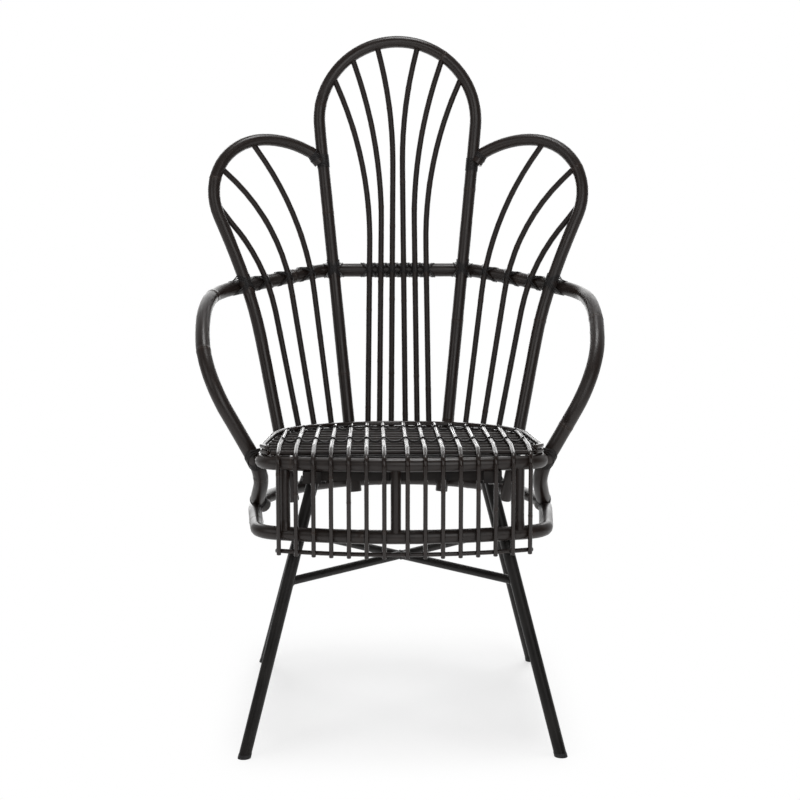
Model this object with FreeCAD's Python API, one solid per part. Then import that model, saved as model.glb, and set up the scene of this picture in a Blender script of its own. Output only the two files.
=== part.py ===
"""Rattan lounge chair with a three-lobed fan back on a splayed iron base.

Millimetres and degrees, +Z up. The sitter faces -Y, and left and right are as seen from the front.
The origin is on the floor under the middle of the chair's box. Bent rattan poles run on straight
stretches and tangent arcs.
"""
import FreeCAD, Part
import math
import os

V = FreeCAD.Vector
UP = V(0, 0, 1)
ACROSS = V(1, 0, 0)

# Diameters of the rattan poles, rods and dowels
ring_pole = 22.0
hoop_pole = 21.0
rail_pole = 24.0
spindle_pole = 10.0
seat_rod = 7.0
cross_rod = 8.0
trim_rod = 7.0
front_post = 16.0

# Play left where pieces are butted, laid on each other or bound with cane
fit = 0.2
wrap_play = 0.5

# Seat ring and lower ring: horseshoes of tangent arcs, measured on the centre line
seat_height = 450.0
seat_drop = 32.0
seat_depth = 430.0
seat_width = 434.0
seat_rear_radius = 209.0
lower_ring_height = 338.0
lower_ring_width = 452.0
lower_rear_radius = 238.0
front_radius = 620.0
corner_radius = 38.0
saw_gap = 0.4

# Fan back: poles stand behind the seat ring and inside the lower one, at angles round the rear arcs
recline = 11.0
center_pole_angle = 21.4
outer_pole_angle = 60.0
outer_pole_low_angle = 58.0
outer_pole_bend = 40.0
outer_pole_bend_radius = 120.0
outer_pole_bow = 7.0
outer_pole_bow_drop = 50.0
outer_pole_straight = 62.0
pole_tail = 16.0
hoop_top = 1101.0
hoop_radius = 138.0
lobe_top = 931.0
lobe_radius = 102.0
lobe_reach = 106.0
lobe_joint_height = 893.0

# Spindles of the centre lobe, from the middle outwards: foot on the ring, bend height, top on the arch
center_foot_angle_1 = 3.2
center_bend_height_1 = 992.0
center_top_angle_1 = 15.5
center_foot_angle_2 = 8.5
center_bend_height_2 = 931.0
center_top_angle_2 = 36.0
center_foot_angle_3 = 13.8
center_bend_height_3 = 900.0
center_top_angle_3 = 56.0
center_spindle_pitch = 20.0

# Spindles of a side lobe, from the outer pole inwards: foot, place on the rail, bend above it, top
side_foot_angle_1 = 47.9
side_rail_place_1 = 120.0
side_bend_rise_1 = 52.0
side_top_angle_1 = 99.0
side_foot_angle_2 = 39.1
side_rail_place_2 = 80.0
side_bend_rise_2 = 106.0
side_top_angle_2 = 58.0
side_foot_angle_3 = 30.3
side_rail_place_3 = 34.0
side_bend_rise_3 = 108.0
side_top_angle_3 = 14.0
spindle_tail = 18.0

# Arm rail: straight behind each lobe, then round both sides as the arms
rail_height = 702.0
rail_lead = 2.0
rail_turn = 33.0
rail_turn_radius = 56.0
rail_droop = 7.0
outer_pole_place = 169.0
arm_shoulder = 46.0
arm_shoulder_radius = 95.0
arm_half_width = 326.0
arm_height = 660.0
arm_middle = 70.0
arm_front_half_width = 314.0
arm_front_height = 572.0
arm_front = -62.0
arm_ring_place = 155.0
arm_tail = 26.0
arm_foot_radius = 60.0
arm_foot_place = 222.0

# Seat rods, which bend down in front as the skirt, and the rods that carry them
rod_pitch = 27.0
rod_post_gap = 17.7
rod_inset = 18.0
rod_bend_radius = 30.0
rod_lead = 14.0
crest_lead = 8.0
cross_rod_pitch = 39.0
first_cross_setback = 34.0
last_cross_margin = 35.0
front_rod_level = 8.5
front_rod_reach = 134.0
trim_drop = 26.0
trim_overhang = 5.0
skirt_overhang = 5.0
center_post_place = -10.0
side_post_place = 180.0

# Iron base and what joins it to the seat
leg_tube = 19.0
leg_wall = 1.5
stretcher_tube = 13.5
stretcher_wall = 1.2
stretcher_height = 260.0
front_foot_x = 243.5
rear_foot_x = 240.0
foot_y = 250.0
leg_top_x = 138.0
front_leg_setback = 75.0
rear_leg_setback = 333.0
bearer_width = 28.0
bearer_height = 18.0
front_bearer_width = 20.0
front_bearer_height = 15.0
front_bearer_setback = 28.0
plate_length = 72.0
plate_width = 40.0
plate_thickness = 4.0
screw_spacing = 52.0
screw_shank = 4.0
screw_bite = 12.0
screw_head = 8.5
screw_head_height = 2.6
screw_head_round = 0.9
glide_rim = 0.5
glide_floor = 6.0
glide_stem = 20.0

# Cane bindings: thickness, and length along each pole
cane = 1.4
rail_wrap = 15.0
spindle_wrap = 18.0
pole_wrap = 26.0
ring_wrap = 24.0
foot_wrap = 14.0
lobe_wrap = 14.0
lobe_wrap_reach = 16.0

# Share of a run that a free bend may take, and rounds to settle touching points
bend_share = 0.97
settle_rounds = 8

# Radii that follow from the diameters
ring_r = ring_pole / 2
hoop_r = hoop_pole / 2
rail_r = rail_pole / 2
spindle_r = spindle_pole / 2
rod_r = seat_rod / 2
cross_r = cross_rod / 2
trim_r = trim_rod / 2

# Lines that follow from the sizes
seat_front = -seat_depth / 2
trim_height = lower_ring_height - trim_drop
skirt_end = trim_height - skirt_overhang
far = 4 * seat_depth
center_spindles = ((center_foot_angle_1, center_bend_height_1, center_top_angle_1),
                   (center_foot_angle_2, center_bend_height_2, center_top_angle_2),
                   (center_foot_angle_3, center_bend_height_3, center_top_angle_3))
side_spindles = ((side_foot_angle_1, side_rail_place_1, side_bend_rise_1, side_top_angle_1),
                 (side_foot_angle_2, side_rail_place_2, side_bend_rise_2, side_top_angle_2),
                 (side_foot_angle_3, side_rail_place_3, side_bend_rise_3, side_top_angle_3))


def sin(degrees):
    return math.sin(math.radians(degrees))


def cos(degrees):
    return math.cos(math.radians(degrees))


def unit(vector):
    return V(vector).normalize()


def rearward(vector):
    """Unit vector along the given one, turned to the rear of the chair."""
    way = unit(vector)
    return way if way.y > 0 else -way


def mirrored(point):
    return V(-point.x, point.y, point.z)


def flipped(shape):
    """The same piece on the other side of the chair."""
    return shape.mirror(V(0, 0, 0), ACROSS)


def both_sides(shapes):
    return shapes + [flipped(shape) for shape in shapes]


def line(start, end):
    return Part.LineSegment(start, end).toShape()


def arc(start, middle, end):
    return Part.Arc(start, middle, end).toShape()


def tangent_normal(point, centre, radius):
    """Unit vector from a circle's centre to where a line from the point touches it, in X and Y."""
    reach = point - centre
    share = radius / reach.Length
    reach = unit(reach)
    return reach * share + V(-reach.y, reach.x, 0) * math.sqrt(1 - share ** 2)


def rounded_edges(points, radii):
    """Lines along the points, each corner rounded by its own radius or by the largest that fits."""
    last = len(points) - 1
    runs = [(points[i + 1] - points[i]).Length for i in range(last)]
    ways = [unit(points[i + 1] - points[i]) for i in range(last)]
    halves = [0.0] + [ways[i].getAngle(ways[i - 1]) / 2 for i in range(1, last)] + [0.0]
    known = {0: 0.0, last: 0.0}
    for i in radii:
        known[i] = radii[i] * math.tan(halves[i])
    edges = []
    place = points[0]
    for i in range(1, last):
        before = runs[i - 1] - known[i - 1] if i - 1 in known else runs[i - 1] / 2
        after = runs[i] - known[i + 1] if i + 1 in known else runs[i] / 2
        cut = known.get(i, bend_share * min(before, after))
        start = points[i] - ways[i - 1] * cut
        end = points[i] + ways[i] * cut
        middle = points[i] + unit(ways[i] - ways[i - 1]) * (cut * math.tan(halves[i] / 2))
        edges.append(line(place, start))
        edges.append(arc(start, middle, end))
        place = end
    edges.append(line(place, points[last]))
    return edges


def pole(edges, diameter):
    """Round pole along edges that follow each other."""
    first = edges[0]
    start = first.valueAt(first.FirstParameter)
    way = first.tangentAt(first.FirstParameter)
    section = Part.Wire(Part.makeCircle(diameter / 2, start, way))
    return Part.Wire(edges).makePipeShell([section], True, False)


def bar(start, end, diameter):
    return Part.makeCylinder(diameter / 2, (end - start).Length, start, end - start)


def tube(start, end, diameter, wall):
    return bar(start, end, diameter).cut(bar(start, end, diameter - 2 * wall))


class RingPlan:
    """Plan of a horseshoe ring: X across, Y back from the middle of its front."""

    def __init__(self, width, rear_radius, rear_centre):
        self.front_centre = V(0, front_radius, 0)
        self.rear_radius = rear_radius
        corner_x = width / 2 - corner_radius
        corner_reach = front_radius - corner_radius
        corner_y = front_radius - math.sqrt(corner_reach ** 2 - corner_x ** 2)
        self.corner = V(corner_x, corner_y, 0)
        self.rear_centre = V(0, rear_centre, 0)
        self.front_normal = unit(self.corner - self.front_centre)
        self.side_normal = tangent_normal(self.corner, self.rear_centre, rear_radius - corner_radius)

    def rear_point(self, angle):
        return self.rear_centre + V(sin(angle), cos(angle), 0) * self.rear_radius

    def rear_way(self, angle):
        return V(cos(angle), -sin(angle), 0)

    def corner_point(self, angle):
        return self.corner + V(cos(angle), -sin(angle), 0) * corner_radius

    def side_start(self):
        return self.rear_centre + self.side_normal * self.rear_radius

    def side_end(self):
        return self.corner + self.side_normal * corner_radius

    def side_way(self):
        return unit(self.side_end() - self.side_start())

    def front_at(self, x):
        """How far back the front stretch is at x, and the cosine of its slant there."""
        x = abs(x)
        centre = self.front_centre
        radius = front_radius
        if x > self.front_normal.x * front_radius:
            centre = self.corner
            radius = corner_radius
        slant = math.sqrt(1 - ((x - centre.x) / radius) ** 2)
        return centre.y - radius * slant, slant

    def rear_at(self, x):
        """How far back the rear stretch is at x."""
        x = abs(x)
        start = self.side_start()
        end = self.side_end()
        if x > start.x:
            return start.y + (end.y - start.y) * (x - start.x) / (end.x - start.x)
        return self.rear_centre.y + math.sqrt(self.rear_radius ** 2 - x ** 2)

    def half_width_at(self, y):
        """Half the ring's width at a distance back from its front."""
        start = self.side_start()
        end = self.side_end()
        if y > start.y:
            return math.sqrt(self.rear_radius ** 2 - (y - self.rear_centre.y) ** 2)
        if y > end.y:
            return end.x + (start.x - end.x) * (y - end.y) / (start.y - end.y)
        return self.corner.x + math.sqrt(corner_radius ** 2 - (y - self.corner.y) ** 2)

    def rear_edge(self, start_angle):
        """Right half of the rear arc."""
        end_angle = math.degrees(math.atan2(self.side_normal.x, self.side_normal.y))
        middle = self.rear_point((start_angle + end_angle) / 2)
        return arc(self.rear_point(start_angle), middle, self.side_start())

    def corner_edge(self, end_angle):
        """Right front corner, from the side to an angle from straight across."""
        start_angle = math.degrees(math.atan2(-self.side_normal.y, self.side_normal.x))
        middle = self.corner_point((start_angle + end_angle) / 2)
        return arc(self.side_end(), middle, self.corner_point(end_angle))

    def edges(self):
        """The whole ring, from its sawn end at the rear round to the other one."""
        start_angle = math.degrees(saw_gap / 2 / self.rear_radius)
        end_angle = math.degrees(math.atan2(-self.front_normal.y, self.front_normal.x))
        side = line(self.side_start(), self.side_end())
        right = [self.rear_edge(start_angle), side, self.corner_edge(end_angle)]
        front_end = self.corner_point(end_angle)
        front = arc(front_end, V(0, 0, 0), mirrored(front_end))
        return right + [front] + far_side(right)


def far_side(edges):
    """The same edges on the other side of the chair, from the last back to the first."""
    result = []
    for edge in reversed(edges):
        start, middle, end = [mirrored(point) for point in edge.discretize(3)]
        straight = edge.Curve.TypeId == "Part::GeomLine"
        result.append(line(end, start) if straight else arc(end, middle, start))
    return result


def placed(edges, frame):
    result = []
    for edge in edges:
        copy = edge.copy()
        copy.Placement = frame
        result.append(copy)
    return result


class Chair:
    """Shared lines of the chair, worked out from the driving dimensions."""

    def __init__(self):
        tilt = math.degrees(math.asin(seat_drop / seat_depth))
        self.seat_frame = FreeCAD.Placement(V(0, seat_front, seat_height), FreeCAD.Rotation(ACROSS, -tilt))
        self.low_frame = FreeCAD.Placement(V(0, seat_front, lower_ring_height), FreeCAD.Rotation())
        self.seat_plan = RingPlan(seat_width, seat_rear_radius, seat_depth - seat_rear_radius)
        self.lay_out_center_hoop()
        self.lay_out_rail()
        self.lay_out_side_lobe()
        self.lay_out_arm()

    def on_seat(self, x, y, z=0.0):
        return self.seat_frame.multVec(V(x, y, z))

    def ring_spot(self, angle):
        """Point and direction of the seat ring's rear arc at an angle."""
        point = self.seat_frame.multVec(self.seat_plan.rear_point(angle))
        way = self.seat_frame.Rotation.multVec(self.seat_plan.rear_way(angle))
        return point, way

    def lay_out_center_hoop(self):
        self.lean = V(0, sin(recline), cos(recline))
        self.behind = V(0, cos(recline), -sin(recline))
        point, way = self.ring_spot(center_pole_angle)
        self.pole_seat = point + rearward(way.cross(self.lean)) * (ring_r + hoop_r + fit)
        self.back_origin = V(0, self.pole_seat.y, self.pole_seat.z)
        self.arch_rise = (hoop_top - self.pole_seat.z) / cos(recline) - hoop_radius
        normal = tangent_normal(V(self.pole_seat.x, 0, 0), V(0, self.arch_rise, 0), hoop_radius)
        self.arch_start = self.on_back(normal.x * hoop_radius, self.arch_rise + normal.y * hoop_radius)
        self.pole_way = unit(self.arch_start - self.pole_seat)
        touch = self.center_pole_at(lower_ring_height)
        inside = lower_rear_radius - (ring_r + hoop_r + fit) / cos(recline)
        low_centre = touch.y - seat_front - math.sqrt(inside ** 2 - touch.x ** 2)
        self.low_plan = RingPlan(lower_ring_width, lower_rear_radius, low_centre)

    def on_back(self, x, rise):
        """Point in the plane of the centre hoop."""
        return self.back_origin + ACROSS * x + self.lean * rise

    def center_pole_at(self, height):
        return self.pole_seat + self.pole_way * ((height - self.pole_seat.z) / self.pole_way.z)

    def on_arch(self, angle):
        return self.on_back(sin(angle) * hoop_radius, self.arch_rise + cos(angle) * hoop_radius)

    def lay_out_rail(self):
        gap = hoop_r + rail_r + fit
        self.pole_rail = self.center_pole_at(rail_height + gap * sin(recline))
        turn_reach = rail_turn_radius * math.tan(math.radians(rail_turn / 2))
        self.rail_corner = self.pole_rail + self.behind * gap + ACROSS * (rail_lead + turn_reach)
        flat = cos(rail_droop)
        self.rail_way = V(cos(rail_turn) * flat, -sin(rail_turn) * flat, -sin(rail_droop))

    def on_rail(self, place):
        """Point on the rail's right side stretch, measured from its corner."""
        return self.rail_corner + self.rail_way * place

    def stretch(self, angle, radius, rail_point, rail_way):
        """Where a pole touches the outside of the seat ring and the front of the rail."""
        ring_point, ring_way = self.ring_spot(angle)
        low = ring_point
        high = rail_point
        for turn in range(settle_rounds):
            way = high - low
            low = ring_point + rearward(ring_way.cross(way)) * (ring_r + radius + fit)
            high = rail_point - rearward(rail_way.cross(way)) * (rail_r + radius + fit)
        return low, high

    def lay_out_side_lobe(self):
        self.lay_out_outer_pole()
        high = self.outer_rail
        joint = self.center_pole_at(lobe_joint_height)
        normal = unit((high - self.outer_bow).cross(joint - high))
        out = unit(normal.cross(UP))
        self.lobe_out = out if out.x > 0 else -out
        rise = unit(self.lobe_out.cross(normal))
        self.lobe_up = rise if rise.z > 0 else -rise
        self.lobe_joint = joint
        joint_out = (joint - high).dot(self.lobe_out)
        joint_up = (joint - high).dot(self.lobe_up)
        crown = (lobe_top - high.z) / self.lobe_up.z
        self.lobe_centre = V(joint_out + lobe_reach, crown - lobe_radius, 0)
        drop = crown - joint_up
        self.inner_radius = (lobe_reach ** 2 + drop ** 2) / (2 * drop)

    def lay_out_outer_pole(self):
        """Touching points and bends of the right outer pole, from the lower ring to above the rail."""
        rail_point = self.on_rail(outer_pole_place)
        ring_point, ring_way = self.ring_spot(outer_pole_angle)
        low, high = self.stretch(outer_pole_angle, hoop_r, rail_point, self.rail_way)
        for turn in range(settle_rounds):
            bow = high + unit(low - high) * outer_pole_bow_drop - self.rail_way * outer_pole_bow
            low = ring_point + rearward(ring_way.cross(bow - low)) * (ring_r + hoop_r + fit)
            high = rail_point - rearward(self.rail_way.cross(high - bow)) * (rail_r + hoop_r + fit)
        self.outer_seat = low
        self.outer_rail = high
        self.outer_bow = bow
        self.outer_knee = high + unit(high - bow) * outer_pole_straight
        self.outer_bend = low - unit(bow - low) * outer_pole_bend
        ring_point = self.low_frame.multVec(self.low_plan.rear_point(outer_pole_low_angle))
        ring_way = self.low_plan.rear_way(outer_pole_low_angle)
        self.outer_low = ring_point
        for turn in range(settle_rounds):
            way = self.outer_bend - self.outer_low
            self.outer_low = ring_point - rearward(ring_way.cross(way)) * (ring_r + hoop_r + fit)

    def on_lobe(self, out, rise):
        """Point in the plane of the right side lobe."""
        return self.outer_rail + self.lobe_out * out + self.lobe_up * rise

    def on_lobe_arch(self, angle):
        centre = self.lobe_centre
        return self.on_lobe(centre.x + sin(angle) * lobe_radius, centre.y + cos(angle) * lobe_radius)

    def lay_out_arm(self):
        front = V(arm_front_half_width, arm_front, arm_front_height)
        ring_point = self.on_seat(self.seat_plan.half_width_at(arm_ring_place), arm_ring_place)
        ring_way = self.seat_frame.Rotation.multVec(self.seat_plan.side_way())
        touch = ring_point
        for turn in range(settle_rounds):
            aside = unit(ring_way.cross(touch - front))
            aside = aside if aside.x > 0 else -aside
            touch = ring_point + aside * (ring_r + rail_r + fit)
        self.arm_ring_point = ring_point
        self.arm_ring_way = ring_way
        self.arm_touch = touch
        self.arm_way = unit(touch - front)
        knee = touch + self.arm_way * arm_tail
        foot_place = V(self.low_plan.half_width_at(arm_foot_place), arm_foot_place, 0)
        self.arm_foot = self.low_frame.multVec(foot_place)
        self.arm_foot_way = unit(knee - self.arm_foot)
        shoulder = self.on_rail(outer_pole_place + arm_shoulder)
        middle = V(arm_half_width, arm_middle, arm_height)
        self.arm_points = [self.rail_corner, shoulder, middle, front, knee, self.arm_foot]


chair = Chair()


def ring(plan, frame, diameter):
    return pole(placed(plan.edges(), frame), diameter)


def seat_ring(play=0.0):
    return ring(chair.seat_plan, chair.seat_frame, ring_pole + 2 * play)


def lower_ring(play=0.0):
    return ring(chair.low_plan, chair.low_frame, ring_pole + 2 * play)


def center_back_hoop(play=0.0):
    foot = chair.center_pole_at(lower_ring_height - pole_tail)
    start = chair.arch_start
    over = arc(start, chair.on_arch(0), mirrored(start))
    edges = [line(foot, start), over, line(mirrored(start), mirrored(foot))]
    return pole(edges, hoop_pole + 2 * play)


def right_back_hoop(play=0.0):
    """Side lobe: outer pole, round arch, and a flatter arc that meets the centre hoop."""
    low = chair.outer_low
    foot = low - unit(chair.outer_bend - low) * pole_tail
    knee = chair.outer_knee
    above = knee - chair.outer_rail
    flat_knee = V(above.dot(chair.lobe_out), above.dot(chair.lobe_up), 0)
    centre = chair.lobe_centre
    normal = tangent_normal(flat_knee, centre, lobe_radius)
    shoulder = chair.on_lobe(centre.x + normal.x * lobe_radius, centre.y + normal.y * lobe_radius)
    shoulder_angle = math.degrees(math.atan2(normal.x, normal.y))
    crown = chair.on_lobe_arch(0)
    inner = chair.inner_radius
    half = math.degrees(math.asin(lobe_reach / inner)) / 2
    inner_middle = crown - chair.lobe_out * (inner * sin(half)) - chair.lobe_up * (inner * (1 - cos(half)))
    points = [foot, chair.outer_bend, chair.outer_bow, knee, shoulder]
    edges = rounded_edges(points, {1: outer_pole_bend_radius})
    edges.append(arc(shoulder, chair.on_lobe_arch(shoulder_angle / 2), crown))
    edges.append(arc(crown, inner_middle, chair.lobe_joint))
    return pole(edges, hoop_pole + 2 * play)


def arm_rail(play=0.0):
    """One long pole: behind the back, round both sides, past the seat ring and onto the lower ring."""
    right = chair.arm_points
    left = [mirrored(point) for point in reversed(right)]
    points = left + right
    last = len(points) - 1
    bends = {5: rail_turn_radius, 4: arm_shoulder_radius, 1: arm_foot_radius}
    radii = {}
    for index in bends:
        radii[index] = bends[index]
        radii[last - index] = bends[index]
    return pole(rounded_edges(points, radii), rail_pole + 2 * play)


def spindle(low, high, bend, top, play):
    way = unit(high - low)
    return pole(rounded_edges([low - way * spindle_tail, bend, top], {}), spindle_pole + 2 * play)


def center_spindle_lines():
    """Touching points of the centre lobe's right-hand spindles, from the middle outwards."""
    lines = []
    for index, (angle, bend_height, top_angle) in enumerate(center_spindles):
        rail_point = V((index + 0.5) * center_spindle_pitch, chair.rail_corner.y, chair.rail_corner.z)
        lines.append(chair.stretch(angle, spindle_r, rail_point, ACROSS))
    return lines


def side_spindle_lines():
    """Touching points of the right lobe's spindles, from the outer pole inwards."""
    lines = []
    for angle, place, bend, top_angle in side_spindles:
        lines.append(chair.stretch(angle, spindle_r, chair.on_rail(place), chair.rail_way))
    return lines


def right_center_spindles(play=0.0):
    hoop = center_back_hoop(fit)
    shapes = []
    for (low, high), (angle, bend_height, top_angle) in zip(center_spindle_lines(), center_spindles):
        way = unit(high - low)
        bend = high + way * ((bend_height - high.z) / way.z)
        shapes.append(spindle(low, high, bend, chair.on_arch(top_angle), play).cut(hoop))
    return shapes


def right_side_spindles(play=0.0):
    hoop = right_back_hoop(fit)
    shapes = []
    for (low, high), (angle, place, bend, top_angle) in zip(side_spindle_lines(), side_spindles):
        bend_point = high + unit(high - low) * bend
        shapes.append(spindle(low, high, bend_point, chair.on_lobe_arch(top_angle), play).cut(hoop))
    return shapes


def raised(level):
    """Frame parallel to the seat ring's plane, above it."""
    return chair.seat_frame.multiply(FreeCAD.Placement(V(0, 0, level), FreeCAD.Rotation()))


def seat_rod_level():
    return ring_r + cross_rod + rod_r + 2 * fit


def cross_rod_places():
    count = int((seat_depth - last_cross_margin - first_cross_setback) / cross_rod_pitch) + 1
    return [first_cross_setback + index * cross_rod_pitch for index in range(count)]


def edge_rod_edges(level):
    """Line round the rear and sides of the seat ring, its ends in the corners beside the outer rods."""
    plan = chair.seat_plan
    side = line(plan.side_start(), plan.side_end())
    end_x = max(abs(x) for x in rod_places()) + rod_r + cross_r + fit
    end_angle = math.degrees(math.acos((end_x - plan.corner.x) / corner_radius))
    right = [plan.rear_edge(0.0), side, plan.corner_edge(end_angle)]
    return placed(far_side(right) + right, raised(level))


def seat_edge_rod(play=0.0):
    """Thin rod bent along the top of the seat ring."""
    return pole(edge_rod_edges(ring_r + cross_r + fit), cross_rod + 2 * play)


def top_edge_rod(play=0.0):
    """A second thin rod on the first one, which stops the rear ends of the seat rods."""
    return pole(edge_rod_edges(ring_r + cross_rod + cross_r + 2 * fit), cross_rod + 2 * play)


def front_edge_rod():
    """Thin rod along the inside of the seat ring's front, under the bends of the seat rods."""
    inset = math.sqrt((ring_r + cross_r + fit) ** 2 - front_rod_level ** 2)
    radius = front_radius - inset
    ends = (-front_rod_reach, 0.0, front_rod_reach)
    points = [V(x, front_radius - math.sqrt(radius ** 2 - x ** 2), 0) for x in ends]
    return pole(placed([arc(*points)], raised(front_rod_level)), cross_rod)


def cross_rods():
    """Rods across the seat, butted on the edge rod or, in front, on the seat rods that dip there."""
    edge_rod = seat_edge_rod(fit)
    level = ring_r + cross_r + fit
    shapes = []
    for y in cross_rod_places():
        half = chair.seat_plan.half_width_at(y)
        rod = bar(chair.on_seat(-half, y, level), chair.on_seat(half, y, level), cross_rod)
        dipping = [seat_and_skirt_rod(x, fit) for x in rod_places() if crest_rod(x) > y]
        pieces = rod.cut([edge_rod] + dipping).Solids
        shapes.append(max(pieces, key=lambda piece: piece.Volume))
    return shapes


def rod_places():
    """Places of the seat rods across the seat: even steps to both sides of the centre post."""
    limit = seat_width / 2 - rod_inset
    places = []
    for side in (-1, 1):
        x = center_post_place + side * rod_post_gap
        while abs(x) <= limit:
            places.append(x)
            x += side * rod_pitch
    return sorted(places)


def crest_rod(x):
    """Place of the foremost cross rod that the seat rod at x lies on."""
    front_y = chair.seat_plan.front_at(x)[0]
    return min(y for y in cross_rod_places() if y - crest_lead > front_y + rod_lead)


def seat_and_skirt_rod(x, play=0.0):
    """Rod from the rear of the seat, over the cross rods, round the ring's front and down."""
    front_y, slant = chair.seat_plan.front_at(x)
    level = seat_rod_level()
    rear = chair.on_seat(x, chair.seat_plan.rear_at(x), level)
    crest = chair.on_seat(x, crest_rod(x) - crest_lead, level)
    ring_point = chair.on_seat(x, front_y)
    hug = (ring_r + rod_r + fit) / slant
    flat_crest = V(crest.y - ring_point.y, crest.z - ring_point.z, 0)
    normal = tangent_normal(flat_crest, V(0, 0, 0), hug)
    brow_height = ring_point.z + hug * (1 + normal.x) / normal.y
    brow = V(x, ring_point.y - hug, brow_height)
    foot = V(x, brow.y, skirt_end)
    edges = rounded_edges([rear, crest, brow, foot], {1: rod_bend_radius, 2: hug})
    return pole(edges, seat_rod + 2 * play)


def seat_rods():
    """The seat rods from left to right, hollowed at the rear to butt on the top edge rod."""
    stop = top_edge_rod(fit)
    rods = [seat_and_skirt_rod(x).cut(stop) for x in rod_places()]
    return [max(rod.Solids, key=lambda piece: piece.Volume) for rod in rods]


def lower_trim_rod():
    """Rod behind the skirt's lower ends, bent to the front of the rings."""
    radius = front_radius + ring_r - trim_r
    centre = V(0, seat_front + front_radius, trim_height)
    ends = (rod_places()[0] - trim_overhang, 0.0, rod_places()[-1] + trim_overhang)
    points = [centre + V(x, -math.sqrt(radius ** 2 - x ** 2), 0) for x in ends]
    return pole([arc(*points)], trim_rod)


def post(x):
    """Upright between the two rings, hollowed at both ends to sit on them."""
    top = chair.on_seat(x, chair.seat_plan.front_at(x)[0])
    upright = bar(V(top.x, top.y, lower_ring_height), top, front_post)
    return upright.cut(seat_ring(fit)).cut(lower_ring(fit))


def leg_setback(side):
    return front_leg_setback if side < 0 else rear_leg_setback


def seat_box(width, length, height, x, y, top):
    """Block under the seat, square to the ring's plane, with its top face at a given level."""
    block = Part.makeBox(width, length, height, V(x - width / 2, y - length / 2, top - height))
    block.Placement = chair.seat_frame
    return block


def bearer_top():
    return -ring_r - fit


def plate_top():
    return bearer_top() - bearer_height


def leg_screws():
    """Pan-head screws up through the leg plates into the bearers, right side."""
    under = plate_top() - plate_thickness
    shapes = []
    for side in (-1, 1):
        for step in (-0.5, 0.5):
            place = V(leg_top_x, leg_setback(side) + step * screw_spacing, under)
            shank = Part.makeCylinder(screw_shank / 2, plate_thickness + screw_bite, place)
            head = Part.makeCylinder(screw_head / 2, screw_head_height, place - UP * screw_head_height)
            head = head.makeFillet(screw_head_round, [head.Edges[2]])
            screw = head.fuse(shank)
            screw.Placement = chair.seat_frame
            shapes.append(screw)
    return shapes


def right_seat_bearer(screws):
    """Batten under the seat ring, from its front to its rear."""
    front = chair.seat_plan.front_at(leg_top_x)[0]
    rear = chair.seat_plan.rear_at(leg_top_x)
    length = rear - front + ring_r
    block = seat_box(bearer_width, length, bearer_height, leg_top_x, (front + rear) / 2, bearer_top())
    return block.cut(screws)


def front_seat_bearer():
    """Batten across under the seat's front, between the two side bearers."""
    length = 2 * leg_top_x - bearer_width - 2 * fit
    return seat_box(length, front_bearer_width, front_bearer_height, 0, front_bearer_setback, bearer_top())


def leg_plates(screws):
    shapes = []
    for side in (-1, 1):
        y = leg_setback(side)
        plate = seat_box(plate_width, plate_length, plate_thickness, leg_top_x, y, plate_top())
        shapes.append(plate.cut(screws))
    return shapes


def leg_line(side):
    """Foot and top of a right-hand leg's axis, for the front (-1) or the rear (1)."""
    top = chair.on_seat(leg_top_x, leg_setback(side), plate_top() - plate_thickness)
    foot_x = front_foot_x if side < 0 else rear_foot_x
    return V(foot_x, side * foot_y, 0), top


def leg_point(side, height):
    foot, top = leg_line(side)
    return foot + (top - foot) * (height / top.z)


def right_leg(side):
    """Splayed tube, cut level above the glide and flush with the plate."""
    foot, top = leg_line(side)
    way = unit(top - foot)
    full = tube(foot - way * leg_tube, top + way * leg_tube, leg_tube, leg_wall)
    above = seat_box(far, far, far, 0, 0, plate_top() - plate_thickness + far)
    below = Part.makeBox(far, far, far, V(-far / 2, -far / 2, glide_floor - far))
    return full.cut(above).cut(below)


def right_glide(side):
    """Plug in the end of a leg: a flat-soled foot with a stem up into the tube."""
    foot, top = leg_line(side)
    way = unit(top - foot)
    foot_block = bar(foot - way * leg_tube, foot + way * leg_tube, leg_tube + 2 * glide_rim)
    slab = Part.makeBox(far, far, glide_floor, V(-far / 2, -far / 2, 0))
    stem_end = leg_point(side, glide_floor + glide_stem)
    stem = bar(foot, stem_end, leg_tube - 2 * leg_wall - 2 * fit)
    below = Part.makeBox(far, far, far, V(-far / 2, -far / 2, glide_floor / 2 - far))
    return foot_block.common(slab).fuse(stem.cut(below))


def leg_cutters():
    """All four legs with play, to hollow the stretchers' ends."""
    solids = []
    for side in (-1, 1):
        foot, top = leg_line(side)
        solids.append(bar(foot, top, leg_tube + 2 * fit))
    return Part.makeCompound(both_sides(solids))


def long_stretcher(play=0.0):
    start = mirrored(leg_point(-1, stretcher_height))
    end = leg_point(1, stretcher_height)
    if play:
        return bar(start, end, stretcher_tube + 2 * play)
    return tube(start, end, stretcher_tube, stretcher_wall).cut(leg_cutters())


def half_stretchers():
    """Front and rear halves of the second stretcher, butted on the long one."""
    start = leg_point(-1, stretcher_height)
    end = mirrored(leg_point(1, stretcher_height))
    whole = tube(start, end, stretcher_tube, stretcher_wall)
    halves = whole.cut(leg_cutters()).cut(long_stretcher(fit)).Solids
    return sorted(halves, key=lambda solid: solid.CenterOfMass.y)


def sleeve(point, way, radius, length):
    """Outside of a binding round a pole."""
    reach = unit(way) * (length / 2)
    return bar(point - reach, point + reach, 2 * (radius + wrap_play + cane))


def seat_ring_sleeve(point, way):
    """Outside of a binding round the seat ring, left open on top for the rods that lie on the ring."""
    above = seat_box(far, far, far, 0, 0, ring_r + far)
    return sleeve(point, way, ring_r, ring_wrap).cut(above)


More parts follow.
